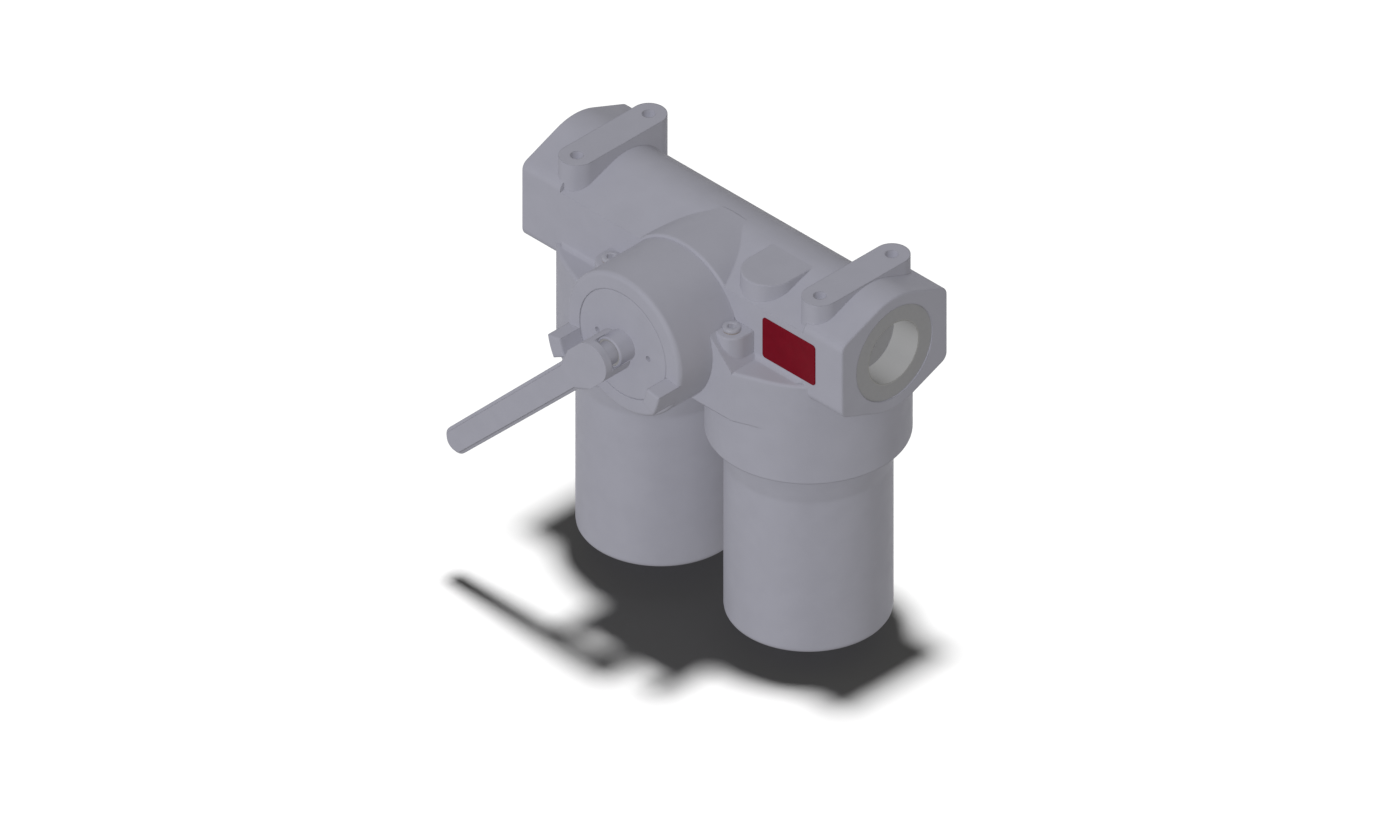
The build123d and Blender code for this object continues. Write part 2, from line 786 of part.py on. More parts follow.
def shaft_circlip():
    """Open ring that keeps the shaft in the cover."""
    centre = (rotor_front + cover_back) / 2
    half = circlip_thickness / 2 - 0.05
    return sector(shaft_radius - 0.7, circlip_radius, 30, 330, centre - half, centre + half)


def changeover_rotor():
    """Rotor with two shutters, each at its own level, carried by three discs on a hub."""
    rotor = along_z(rotor_hub_radius, rotor_rear, rotor_front)
    for low in (rotor_rear, level_split - rotor_disc / 2, rotor_front - rotor_disc):
        rotor += along_z(rotor_radius - rotor_disc_relief, low, low + rotor_disc)
    start = rest_angle - shutter_half_angle
    end = rest_angle + shutter_half_angle
    low = rotor_rear + rotor_disc / 2
    high = rotor_front - rotor_disc / 2
    rotor += sector(shutter_inner_radius, rotor_radius, start, end, low, high)
    rotor -= along_z(journal_radius, rotor_rear, level_split + rotor_disc)
    rotor -= along_z(shaft_radius, level_split, rotor_front)
    return rotor - cross_pin(rotor_pin_z, 2 * rotor_hub_radius + 2)


def lever_outline(inset):
    """Plan of the lever along +X: round hub, flare, tapering arm and round tip."""
    root = arm_root_half_width - inset
    tip = arm_tip_half_width - inset
    arm = make_face(Polyline(
        (0, -hub_radius), (hub_shoulder, -hub_radius), (arm_start, -root), (arm_length, -tip),
        (arm_length, tip), (arm_start, root), (hub_shoulder, hub_radius), (0, hub_radius), close=True,
    ))
    return arm + Circle(hub_radius) + Pos(arm_length, 0) * Circle(tip)


def lever_side(drop):
    """Side view of the lever; drop lowers the front of the arm behind the hub."""
    tip = arm_length + arm_tip_half_width
    points = [
        (-hub_radius, hub_back),
        (hub_shoulder, hub_back),
        (hub_shoulder + 8.0, arm_back),
        (tip, arm_back),
        (tip, arm_tip_front - drop),
        (arm_start, hub_front - drop - 0.5),
        (hub_shoulder, hub_front),
        (-hub_radius, hub_front),
    ]
    side = Plane.XZ * make_face(Polyline(*points, close=True))
    return extrude(side, amount=hub_radius + 1.0, both=True)


def lever():
    """Hand lever: a hub that forks over the cover's neck and a stepped arm."""
    height = hub_front - hub_back
    blank = extrude(Pos(0, 0, hub_back) * lever_outline(0), amount=height) & lever_side(ledge_depth)
    panel = extrude(Pos(0, 0, hub_back) * lever_outline(ledge_width), amount=height) & lever_side(0)
    body = blank + panel
    fork = neck_radius + fork_clearance
    slot = along_z(fork, hub_back, shaft_end)
    slot += between((-hub_radius - 1.0, -fork, hub_back), (0, fork, shaft_end))
    body -= slot
    pocket = tang_half_width + tang_fit
    body -= between((-pocket, -pocket, shaft_end), (pocket, pocket, shaft_end + tang_length + tang_fit))
    return Rot(0, 0, rest_angle) * body - cross_pin(lever_pin_z, 2 * hub_radius + 2)


def both_sides(name, piece):
    """Left and right copies of a vessel piece built round Z."""
    return {f"{name}_left": at_bowl(-1, piece), f"{name}_right": at_bowl(1, piece)}


def build_nodes():
    """Every piece under its node name."""
    nodes = {"filter_head": filter_head(), "label_plate": label_plate()}
    nodes["valve_cover"] = at_valve(valve_cover())
    nodes["cover_o_ring"] = at_valve(cover_o_ring())
    nodes["shaft_o_ring"] = at_valve(shaft_o_ring())
    nodes["front_bush"] = at_valve(front_bush())
    nodes["rear_bush"] = at_valve(rear_bush())
    nodes["valve_shaft"] = at_valve(valve_shaft())
    nodes["shaft_circlip"] = at_valve(shaft_circlip())
    nodes["changeover_rotor"] = at_valve(changeover_rotor())
    nodes["rotor_pin"] = at_valve(cross_pin(rotor_pin_z, 2 * rotor_hub_radius - 1))
    nodes["lever"] = at_valve(lever())
    nodes["lever_pin"] = at_valve(cross_pin(lever_pin_z, 2 * hub_radius - 1))
    vessel_pieces = {
        "filter_bowl": filter_bowl,
        "bowl_o_ring": bowl_o_ring,
        "drain_plug": drain_plug,
        "drain_seal": drain_seal,
        "element_top_cap": element_top_cap,
        "element_bottom_cap": element_bottom_cap,
        "element_pleats": element_pleats,
        "element_core": element_core,
        "element_o_ring": element_o_ring,
        "bypass_cage": bypass_cage,
        "bypass_poppet": bypass_poppet,
        "bypass_spring": bypass_spring,
    }
    for name, make in vessel_pieces.items():
        nodes.update(both_sides(name, make()))
    for name, piece in (("vent_screw", vent_screw()), ("vent_seal", vent_seal())):
        nodes[f"{name}_right"] = piece
        nodes[f"{name}_left"] = mirror(piece, Plane.YZ)
    return nodes


os.makedirs("parts", exist_ok=True)
for node_name, solid in build_nodes().items():
    export_step(solid, f"parts/{node_name}.step")
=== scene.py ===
# %% [markdown]
# # Dressing a duplex strainer
# The strainer is one casting with two screw-in bowls and a lever that turns the flow from one
# bowl to the other. Its solids were made in CAD and come here packed, in metres, in one frame:
# the origin is the centre of the four top mounting holes, +X runs to the outlet port and -Y is
# the side of the lever. This script keeps those solids, gives them finishes, and makes the
# pieces whose skin is finer than a CAD solid: threads, eased edges, folded mats, springs and
# the slope along the lever.

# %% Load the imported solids
import itertools
import math

import bpy
import numpy as np
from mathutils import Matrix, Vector


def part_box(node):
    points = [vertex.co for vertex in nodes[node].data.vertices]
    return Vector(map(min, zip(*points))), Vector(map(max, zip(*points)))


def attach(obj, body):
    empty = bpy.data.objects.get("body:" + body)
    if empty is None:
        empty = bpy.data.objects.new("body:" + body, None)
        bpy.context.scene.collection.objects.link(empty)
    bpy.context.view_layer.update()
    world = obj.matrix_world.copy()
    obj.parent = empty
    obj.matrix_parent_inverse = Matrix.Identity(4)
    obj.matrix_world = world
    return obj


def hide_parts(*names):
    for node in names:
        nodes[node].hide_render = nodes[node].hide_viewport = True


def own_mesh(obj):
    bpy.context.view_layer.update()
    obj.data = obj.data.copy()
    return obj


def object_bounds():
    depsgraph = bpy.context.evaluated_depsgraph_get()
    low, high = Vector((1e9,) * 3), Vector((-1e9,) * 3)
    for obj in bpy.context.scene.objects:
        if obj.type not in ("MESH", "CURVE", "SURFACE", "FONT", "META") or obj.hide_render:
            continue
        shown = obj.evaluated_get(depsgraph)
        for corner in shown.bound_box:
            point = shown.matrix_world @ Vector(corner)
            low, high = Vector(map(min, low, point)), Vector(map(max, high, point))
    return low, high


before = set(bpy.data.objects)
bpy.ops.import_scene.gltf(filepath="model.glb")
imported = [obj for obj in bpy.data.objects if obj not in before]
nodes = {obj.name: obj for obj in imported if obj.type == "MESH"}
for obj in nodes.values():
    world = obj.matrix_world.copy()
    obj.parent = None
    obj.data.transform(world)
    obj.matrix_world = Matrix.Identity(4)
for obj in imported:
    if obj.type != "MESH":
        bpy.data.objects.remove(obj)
scene = bpy.context.scene
cad_low, cad_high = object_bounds()
print("solids:", len(nodes), "box in mm:", [round(1000 * s) for s in cad_high - cad_low])

# %% [markdown]
# ## Camera
# The picture is an isometric drawing view: no vanishing lines, and the three axes of the part
# 120 degrees apart on the page. An orthographic camera on the (1, -1, 1) diagonal gives this.
# A perspective camera far away would come close, but its lines would never be quite parallel.
# The scale is 0.64 mm to a pixel of a picture 1400 pixels wide.

# %% Isometric camera
picture_width = 1400
millimetres_per_pixel = 0.64
camera_distance = 2
to_camera = Vector((1, -1, 1)).normalized()
aim = Vector((0.0398, -0.0710, -0.1108))
view_data = bpy.data.cameras.new("isometric camera")
view_data.type = "ORTHO"
view_data.ortho_scale = picture_width * millimetres_per_pixel / 1000
view_data.clip_end = 50
camera = bpy.data.objects.new("isometric camera", view_data)
camera.location = aim + camera_distance * to_camera
camera.rotation_mode = "QUATERNION"
camera.rotation_quaternion = (-to_camera).to_track_quat("-Z", "Y")
scene.collection.objects.link(camera)
scene.camera = camera
scene.view_settings.view_transform = "Standard"
print("camera covers", round(view_data.ortho_scale, 3), "m")

# %% [markdown]
# ## Light
# The picture has flat, even light: walls on the side of the lever are lightest, the tops a
# little darker, and the port's end darkest. Suns without shadows and an even sky give just
# that, since a sun lights each face by its direction alone. A big soft lamp would do it too,
# but it would put shadows of the drum on the bowls, which the picture doesn't have. Eight weak
# fill suns stand at the corners of a cube, so that holes and corners aren't left to the sky
# alone. Gloss doesn't see them: square faces would mirror one of the corners straight to the
# camera.

# %% Suns
def sun(name, towards, strength, colour, size):
    """Sun whose light comes from the direction towards, with a disc of size degrees."""
    data = bpy.data.lights.new(name, "SUN")
    data.energy = strength
    data.color = colour
    data.angle = math.radians(size)
    lamp = bpy.data.objects.new(name, data)
    lamp.rotation_mode = "QUATERNION"
    lamp.rotation_quaternion = Vector(towards).to_track_quat("Z", "Y")
    scene.collection.objects.link(lamp)
    return lamp


fill_colour = (1.0, 0.99, 0.95)
soft_disc = 12
part_suns = [
    sun("front sun", (0.11, -0.79, 0.60), 1.92, (0.95, 0.96, 1.0), soft_disc),
    sun("side sun", (1.0, 0.0, 0.0), 0.20, fill_colour, soft_disc),
]
for corner in itertools.product((-1, 1), repeat=3):
    fill_sun = sun("fill sun", corner, 0.38, fill_colour, soft_disc)
    fill_sun.visible_glossy = False
    part_suns.append(fill_sun)
for lamp in part_suns:
    lamp.data.use_shadow = False
print("suns:", len(part_suns), "together", round(sum(lamp.data.energy for lamp in part_suns), 2))

# %% [markdown]
# ## Sky
# The sky has two faces. Rays that go on to light the part see an even grey level, and rays
# from the camera, from a reflection or through glass see a white page.

# %% Even sky behind a white page
sky_level = 0.28
sky_colour = fill_colour + (1.0,)


def seen_directly(tree):
    """1 for rays from the camera, from a reflection or through glass, else 0."""
    path = tree.nodes.new("ShaderNodeLightPath")
    seen = path.outputs["Is Camera Ray"]
    for kind in ("Is Glossy Ray", "Is Transmission Ray"):
        either = tree.nodes.new("ShaderNodeMath")
        either.operation = "MAXIMUM"
        tree.links.new(seen, either.inputs[0])
        tree.links.new(path.outputs[kind], either.inputs[1])
        seen = either.outputs[0]
    return seen


sky = bpy.data.worlds.new("even sky")
sky.use_nodes = True
scene.world = sky
sky_tree = sky.node_tree
light_level = sky_tree.nodes["Background"]
light_level.inputs["Color"].default_value = sky_colour
light_level.inputs["Strength"].default_value = sky_level
white_page = sky_tree.nodes.new("ShaderNodeBackground")
white_page.inputs["Color"].default_value = (1, 1, 1, 1)
pick = sky_tree.nodes.new("ShaderNodeMixShader")
sky_tree.links.new(seen_directly(sky_tree), pick.inputs["Fac"])
sky_tree.links.new(light_level.outputs[0], pick.inputs[1])
sky_tree.links.new(white_page.outputs[0], pick.inputs[2])
sky_tree.links.new(pick.outputs[0], sky_tree.nodes["World Output"].inputs["Surface"])
print("sky level", sky_level)

# %% [markdown]
# ## Floor
# The floor is a white page that shows nothing but the shadow, straight below the part. Its
# shadow comes from one more sun, overhead, that lights the floor alone by light linking, so
# the shadow may be as dark as it is in the picture without a change to the part's own light.
# The page is a grey of 0.2 and that sun is strong: 0.2 * 15.8 / pi is just over 1, so the page
# comes out white, and in full shadow only 0.2 of the sky's light is left.

# %% White floor
floor_gap = 0.0004
floor_level = cad_low.z - floor_gap
floor_reach = 12.0
page_grey = 0.2
corner_signs = np.array([(-1, -1), (1, -1), (1, 1), (-1, 1)], float)
floor_corners = np.column_stack([floor_reach * corner_signs, np.full(4, floor_level)])
floor_mesh = bpy.data.meshes.new("floor")
floor_mesh.from_pydata(floor_corners.tolist(), [], [(0, 1, 2, 3)])
floor = bpy.data.objects.new("floor", floor_mesh)
scene.collection.objects.link(floor)

page = bpy.data.materials.new("white page")
page.use_nodes = True
page_tree = page.node_tree
page_tree.nodes.remove(page_tree.nodes["Principled BSDF"])
paper = page_tree.nodes.new("ShaderNodeBsdfDiffuse")
paper.inputs["Color"].default_value = (page_grey, page_grey, page_grey, 1)
bounce = page_tree.nodes.new("ShaderNodeEmission")
bounce.inputs["Color"].default_value = sky_colour
bounce.inputs["Strength"].default_value = sky_level
choice = page_tree.nodes.new("ShaderNodeMixShader")
page_tree.links.new(seen_directly(page_tree), choice.inputs["Fac"])
page_tree.links.new(bounce.outputs[0], choice.inputs[1])
page_tree.links.new(paper.outputs[0], choice.inputs[2])
page_tree.links.new(choice.outputs[0], page_tree.nodes["Material Output"].inputs["Surface"])
floor_mesh.materials.append(page)
print("floor at", round(1000 * floor_level, 1), "mm")

# %% Overhead sun for the floor alone
overhead_sun = sun("overhead sun", (0, 0, 1), 15.8, (1, 1, 1), 7.5)
floor_only = bpy.data.collections.new("lit by the overhead sun")
floor_only.objects.link(floor)
overhead_sun.light_linking.receiver_collection = floor_only
all_but_floor = bpy.data.collections.new("not lit on the floor")
all_but_floor.objects.link(floor)
all_but_floor.collection_objects[0].light_linking.link_state = "EXCLUDE"
for lamp in part_suns:
    lamp.light_linking.receiver_collection = all_but_floor
print("overhead sun", overhead_sun.data.energy)

# %% [markdown]
# ## Finishes
# A finish is built from the same few parts: a base colour that varies a little over the
# piece, a roughness that varies with it, and a fine height that bends the surface normal. All
# of them read Object coordinates, which are metres on every piece here, so a grain has its
# real size. The Bevel node softens the normal over each edge, as tumbling and paint do.

# %% Helpers for finishes
def linear(red, green, blue):
    """Colour of 0-255 screen values as the linear numbers that a shader uses:
    ((c + 0.055) / 1.055) ^ 2.4 for the usual range."""
    c = np.array([red, green, blue]) / 255
    return tuple(((c + 0.055) / 1.055) ** 2.4) + (1.0,)


def node(tree, kind, inputs=None, **settings):
    """New shader node with its settings and the values or links of its inputs."""
    made = tree.nodes.new("ShaderNode" + kind)
    for key, value in settings.items():
        setattr(made, key, value)
    for key, value in (inputs or {}).items():
        if isinstance(value, bpy.types.NodeSocket):
            tree.links.new(value, made.inputs[key])
        else:
            made.inputs[key].default_value = value
    return made


def maths(tree, operation, first, second=0.0, third=0.0):
    """One Math node: operation of up to three numbers or links."""
    values = {0: first, 1: second, 2: third}
    return node(tree, "Math", values, operation=operation).outputs[0]


def start_finish(name, metallic, specular):
    """Material with its tree, shader, and the place on the piece in metres."""
    made = bpy.data.materials.new(name)
    made.use_nodes = True
    tree = made.node_tree
    shader = tree.nodes["Principled BSDF"]
    shader.inputs["Metallic"].default_value = metallic
    shader.inputs["Specular IOR Level"].default_value = specular
    place = node(tree, "TexCoord").outputs["Object"]
    return made, tree, shader, place


def mottle(tree, place, colour, spread, scale):
    """Colour that a soft noise takes up and down by spread, as a share of itself."""
    cloud = node(tree, "TexNoise", {"Vector": place, "Scale": scale, "Detail": 3.0}).outputs["Fac"]
    dark = tuple(c * (1 - spread) for c in colour[:3]) + (1.0,)
    light = tuple(c * (1 + spread) for c in colour[:3]) + (1.0,)
    ramp = node(tree, "ValToRGB", {"Fac": cloud})
    ramp.color_ramp.elements[0].position = 0.3
    ramp.color_ramp.elements[0].color = dark
    ramp.color_ramp.elements[1].position = 0.7
    ramp.color_ramp.elements[1].color = light
    return ramp.outputs["Color"]


def blend(tree, factor, first, second):
    """Colour that goes from first to second, each a link or a colour, with factor 0 to 1."""
    mix = tree.nodes.new("ShaderNodeMix")
    mix.data_type = "RGBA"
    for key, value in (("Factor", factor), ("A", first), ("B", second)):
        sockets = [socket for socket in mix.inputs if socket.name == key and socket.enabled]
        if isinstance(value, bpy.types.NodeSocket):
            tree.links.new(value, sockets[0])
        else:
            sockets[0].default_value = value
    return next(socket for socket in mix.outputs if socket.enabled)


def spread_roughness(tree, place, low, high, scale):
    """Roughness that wanders between low and high."""
    cloud = node(tree, "TexNoise", {"Vector": place, "Scale": scale, "Detail": 2.0}).outputs["Fac"]
    span = {"Value": cloud, "From Min": 0.3, "From Max": 0.7, "To Min": low, "To Max": high}
    return node(tree, "MapRange", span).outputs["Result"]


def relief(tree, height, depth, strength, normal):
    """Bump of a height of 0 to 1, depth metres deep, on top of another normal."""
    values = {"Height": height, "Distance": depth, "Strength": strength, "Normal": normal}
    return node(tree, "Bump", values).outputs["Normal"]


def soft_edges(tree, radius):
    """Normal that turns smoothly over every edge within radius metres."""
    return node(tree, "Bevel", {"Radius": radius}, samples=4).outputs["Normal"]


# %% [markdown]
# ## Cast aluminium
# The head is sand cast and painted silver grey, with a fine grain. The spot face round each
# port and the bore are machined, so they are smoother and have no paint. The bore's wall gets a
# lighter grey than the spot face of the same metal: painted light, for the sky light that the
# deep bore shuts out. One material does all of it, with masks made from the distance to the
# port's axis.

# %% Cast head
silver_grey = linear(150, 150, 160)
spot_grey = linear(140, 140, 143)
# painted light: the bore's wall is lighter than the spot face, for the sky light the deep bore
# shuts out
bore_painted_light_grey = linear(150, 150, 150)
port_height = -0.044
spot_radius, bore_radius = 0.0347, 0.0232
bore_end, bore_start, spot_face = 0.1195, 0.1218, 0.14402


def cast_finish():
    """Sand cast aluminium with machined port faces, and painted light on the bore's wall."""
    made, tree, shader, place = start_finish("sand cast aluminium", 0.0, 0.03)
    split = node(tree, "SeparateXYZ", {"Vector": place})
    across = maths(tree, "ABSOLUTE", split.outputs["X"])
    above = maths(tree, "SUBTRACT", split.outputs["Z"], port_height)
    aside = maths(tree, "POWER", split.outputs["Y"], 2.0)
    from_axis = maths(tree, "SQRT", maths(tree, "MULTIPLY_ADD", above, above, aside))
    near_axis = maths(tree, "LESS_THAN", from_axis, spot_radius)
    outward = maths(tree, "GREATER_THAN", across, bore_end)
    inside = maths(tree, "LESS_THAN", across, spot_face)
    machined = maths(tree, "MULTIPLY", maths(tree, "MULTIPLY", near_axis, outward), inside)
    paint = mottle(tree, place, silver_grey, 0.018, 60.0)
    # the bore's wall, where the lighter grey is painted light
    before_end = maths(tree, "GREATER_THAN", across, bore_start)
    in_radius = maths(tree, "LESS_THAN", from_axis, bore_radius)
    bore_light_mask = maths(tree, "MULTIPLY", in_radius, before_end)
    bare = blend(tree, bore_light_mask, mottle(tree, place, spot_grey, 0.02, 300.0), bore_painted_light_grey)
    tree.links.new(blend(tree, machined, paint, bare), shader.inputs["Base Color"])
    tree.links.new(spread_roughness(tree, place, 0.44, 0.54, 90.0), shader.inputs["Roughness"])
    grain = node(tree, "TexNoise", {"Vector": place, "Scale": 1100.0, "Detail": 2.0}).outputs["Fac"]
    cast_only = maths(tree, "MULTIPLY", grain, maths(tree, "SUBTRACT", 1.0, machined))
    normal = relief(tree, cast_only, 0.00012, 0.22, soft_edges(tree, 0.0015))
    tree.links.new(normal, shader.inputs["Normal"])
    return made


# %% [markdown]
# ## Turned and drawn metal
# The bowls, cover and plugs come off a lathe, so their marks run round the piece: a noise that
# changes fast along the axis and slowly round it. Stretching the coordinates in a Mapping node
# does that. On the cover the marks are circles, so its noise reads the distance to the shaft.
# The die cast lever has the same finish with its marks almost gone.

# %% Turned metal
mark_scale = 2600.0


def turned_finish(name, colour, metallic, specular, rough, mark_strength, ring_axis=None):
    """Metal with tool marks: level rings, or circles about the (x, z) of ring_axis."""
    made, tree, shader, place = start_finish(name, metallic, specular)
    if ring_axis is None:
        stretched = node(tree, "Mapping", {"Vector": place, "Scale": (30.0, 30.0, mark_scale)})
        inputs = {"Vector": stretched.outputs[0], "Scale": 1.0, "Detail": 2.0}
        marks = node(tree, "TexNoise", inputs)
    else:
        split = node(tree, "SeparateXYZ", {"Vector": place})
        x = maths(tree, "SUBTRACT", split.outputs["X"], ring_axis[0])
        z = maths(tree, "SUBTRACT", split.outputs["Z"], ring_axis[1])
        squares = maths(tree, "MULTIPLY_ADD", x, x, maths(tree, "MULTIPLY", z, z))
        inputs = {"W": maths(tree, "SQRT", squares), "Scale": mark_scale, "Detail": 2.0}
        marks = node(tree, "TexNoise", inputs, noise_dimensions="1D")
    tree.links.new(mottle(tree, place, colour, 0.02, 70.0), shader.inputs["Base Color"])
    wander = spread_roughness(tree, place, rough, rough + 0.08, 120.0)
    tree.links.new(wander, shader.inputs["Roughness"])
    normal = relief(tree, marks.outputs["Fac"], 0.00008, mark_strength, soft_edges(tree, 0.0006))
    tree.links.new(normal, shader.inputs["Normal"])
    return made


# %% [markdown]
# ## Rubber, mat and plate
# Rubber is dark and dull. The mat of the filter is a resin-bonded fleece under a fine wire
# cloth, whose threads are two crossed waves on the piece's own UV map. The plate is a dark red
# enamel with a soft gloss, and it stays bare.

# %% Soft and coated finishes
rubber_black = (0.018, 0.018, 0.019)
fleece_cream = (0.60, 0.56, 0.44)
wire_grey = (0.42, 0.42, 0.41, 1)
enamel_red = linear(103, 13, 27)
wire_pitch = 0.0009


def rubber_finish():
    """Black nitrile rubber with a bloom."""
    made, tree, shader, place = start_finish("nitrile rubber", 0.0, 0.3)
    tree.links.new(mottle(tree, place, rubber_black, 0.25, 400.0), shader.inputs["Base Color"])
    tree.links.new(spread_roughness(tree, place, 0.55, 0.7, 300.0), shader.inputs["Roughness"])
    return made


def mat_finish():
    """Fleece under wire cloth: the larger of two crossed waves, 0.5 + 0.5 sin(2 pi u / pitch)
    and the same of v. Where it is near 1 there is a wire."""
    made, tree, shader, place = start_finish("filter mat under wire cloth", 0.0, 0.3)
    across = node(tree, "UVMap").outputs["UV"]
    split = node(tree, "SeparateXYZ", {"Vector": across})
    waves = []
    for side in ("X", "Y"):
        turns = maths(tree, "MULTIPLY", split.outputs[side], 2 * math.pi / wire_pitch)
        waves.append(maths(tree, "MULTIPLY_ADD", maths(tree, "SINE", turns), 0.5, 0.5))
    cloth = maths(tree, "MAXIMUM", waves[0], waves[1])
    fleece = mottle(tree, place, fleece_cream, 0.08, 500.0)
    wires = node(tree, "MapRange", {"Value": cloth, "From Min": 0.75, "From Max": 0.95})
    colour = blend(tree, wires.outputs["Result"], fleece, wire_grey)
    tree.links.new(colour, shader.inputs["Base Color"])
    shader.inputs["Roughness"].default_value = 0.6
    plain = node(tree, "NewGeometry").outputs["Normal"]
    tree.links.new(relief(tree, cloth, 0.0002, 0.5, plain), shader.inputs["Normal"])
    return made


def plate_finish():
    """Dark red enamel."""
    made, tree, shader, place = start_finish("dark red enamel", 0.0, 0.03)
    tree.links.new(mottle(tree, place, enamel_red, 0.06, 150.0), shader.inputs["Base Color"])
    tree.links.new(spread_roughness(tree, place, 0.32, 0.42, 200.0), shader.inputs["Roughness"])
    tree.links.new(soft_edges(tree, 0.0003), shader.inputs["Normal"])
    return made


# %% Give every solid its finish
valve_axis = (0.0, -0.0591)
finishes = {
    "cast_aluminium": cast_finish(),
    "bowl_aluminium": turned_finish("turned bowl", silver_grey, 0.0, 0.03, 0.42, 0.12),
    "turned_aluminium": turned_finish(
        "turned cover", silver_grey, 0.0, 0.03, 0.40, 0.15, ring_axis=valve_axis
    ),
    "lever_aluminium": turned_finish("die cast lever", silver_grey, 0.0, 0.03, 0.45, 0.03),
    "steel": turned_finish("bright steel", linear(150, 150, 159), 0.1, 0.15, 0.38, 0.10),
    "cap_sheet": turned_finish("zinc plated sheet", linear(168, 170, 170), 0.7, 0.5, 0.32, 0.05),
    "seal_metal": turned_finish("copper ring", linear(150, 140, 132), 0.3, 0.3, 0.40, 0.10),
    "bronze": turned_finish("lined bush", linear(146, 145, 145), 0.1, 0.2, 0.42, 0.10),
    "seal_rubber": rubber_finish(),
    "filter_mat": mat_finish(),
    "label": plate_finish(),
}
for solid in nodes.values():
    for slot in solid.material_slots:
        slot.material = finishes[slot.material.name]
print("finishes:", len(finishes))

# %% [markdown]
# ## Surfaces from arrays
# Every new piece is a grid of points, worked out as whole numpy arrays: one direction runs
# round the piece and the other along its section. A closed direction joins its last line to
# its first, and an open one ends in a flat face, so no seam or pole is left open. Modelling
# by hand with bmesh would do as well, but an array keeps the formula in sight.

# %% Grid to mesh
crease = math.radians(32)


def skin(name, points, closed_rows, body, slot, stands_for=()):
    """Piece from points[row, column]. Columns always run round and close. Rows close into a
    ring, or else the first and last rows get a flat face each. The volume, a sum of triple
    products over the faces, tells whether the faces point outwards."""
    rows, columns = points.shape[:2]
    index = np.arange(rows * columns).reshape(rows, columns)
    upper = np.roll(index, -1, axis=0)
    quads = np.stack([index, np.roll(index, -1, 1), np.roll(upper, -1, 1), upper], axis=-1)
    if not closed_rows:
        quads = quads[:-1]
    quads = quads.reshape(-1, 4)
    flat = points.reshape(-1, 3)
    a, b, c, d = (flat[quads[:, i]] - flat.mean(axis=0) for i in range(4))
    volume = np.sum(a * np.cross(b, c) + a * np.cross(c, d)) / 6
    faces = quads.tolist()
    if not closed_rows:
        faces += [index[0][::-1].tolist(), index[-1].tolist()]
    if volume < 0:
        faces = [face[::-1] for face in faces]
    mesh = bpy.data.meshes.new(name)
    mesh.from_pydata(flat.tolist(), [], faces)
    mesh.polygons.foreach_set("use_smooth", np.ones(len(faces), bool))
    mesh.set_sharp_from_angle(angle=crease)
    mesh.materials.append(finishes[slot])
    piece = bpy.data.objects.new(name, mesh)
    scene.collection.objects.link(piece)
    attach(piece, body)
    if stands_for:
        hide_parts(*stands_for)
    print(name, "faces:", len(faces))
    return piece


# %% Eased section and long runs cut short
def eased(corners, steps=5):
    """Closed section from rows of (radius, height, ease): each corner becomes a quadratic
    curve (1-t)^2 P + 2t(1-t) C + t^2 Q between points ease away from it on both sides. Points
    that fall on the one before them are dropped."""
    corners = np.asarray(corners, float)
    place, ease = corners[:, :2], corners[:, 2:]
    before = np.roll(place, 1, axis=0) - place
    after = np.roll(place, -1, axis=0) - place
    start = place + ease * before / np.linalg.norm(before, axis=1, keepdims=True)
    end = place + ease * after / np.linalg.norm(after, axis=1, keepdims=True)
    t = np.linspace(0, 1, steps)[None, :, None]
    curve = (1 - t) ** 2 * start[:, None] + 2 * t * (1 - t) * place[:, None] + t**2 * end[:, None]
    line = curve.reshape(-1, 2)
    moved = np.linalg.norm(line - np.roll(line, 1, axis=0), axis=1)
    return line[moved > 1e-4]


def cut_runs(line, longest, low, high):
    """Section whose runs between two heights are cut into parts no longer than longest."""
    gaps = np.linalg.norm(np.diff(line, axis=0), axis=1)
    station = np.concatenate([[0], np.cumsum(gaps)])
    middle = (line[1:, 1] + line[:-1, 1]) / 2
    parts = np.where((middle > low) & (middle < high), np.ceil(gaps / longest), 1).astype(int)
    whole = np.repeat(station[:-1], parts)
    step = np.arange(parts.sum()) - np.repeat(np.cumsum(parts) - parts, parts)
    fresh = np.append(whole + step * np.repeat(gaps / parts, parts), station[-1])
    return np.column_stack([np.interp(fresh, station, line[:, i]) for i in range(2)])


# %% Thread and hexagon
flank = 0.3


def groove(phase, width):
    """1 at the root of a thread and 0 on its crest: a trapezium over the pitch, whose sloping
    sides take the share flank of the pitch each. At half depth the groove takes width of it."""
    return np.clip((width + flank - np.abs(2 * phase - 1)) / (2 * flank), 0, 1)


def turned_grid(line, centre, columns, flats=0.0, on_flats=None, thread=None):
    """Points of a (radius, height) section in mm turned about a vertical axis. On the rows of
    a hexagon the radius is the smaller of the section's and flats / 2 / cos(angle from the
    middle of a flat). A thread takes depth * groove(height / pitch - angle / turn) off it
    where the radius is over side, and fades out over one pitch at its low and high end."""
    angle = np.linspace(0, 2 * math.pi, columns, endpoint=False)
    radius = np.repeat(line[:, :1], columns, axis=1)
    if flats:
        off_flat = angle % (math.pi / 3) - math.pi / 6
        flat_radius = flats / 2 / np.cos(off_flat)
        radius = np.where(on_flats[:, None], np.minimum(radius, flat_radius), radius)
    if thread:
        low, high, pitch, depth, width, side = thread
        height = line[:, 1:]
        phase = (height / pitch - angle / (2 * math.pi)) % 1
        fade = np.clip(np.minimum(height - low, high - height) / pitch, 0, 1)
        fade = fade * (line[:, :1] > side)
        radius = radius - depth * fade * groove(phase, width)
    x = centre[0] + radius * np.cos(angle)
    y = centre[1] + radius * np.sin(angle)
    z = np.repeat(line[:, 1:], columns, axis=1)
    return np.stack([x, y, z], axis=-1) / 1000


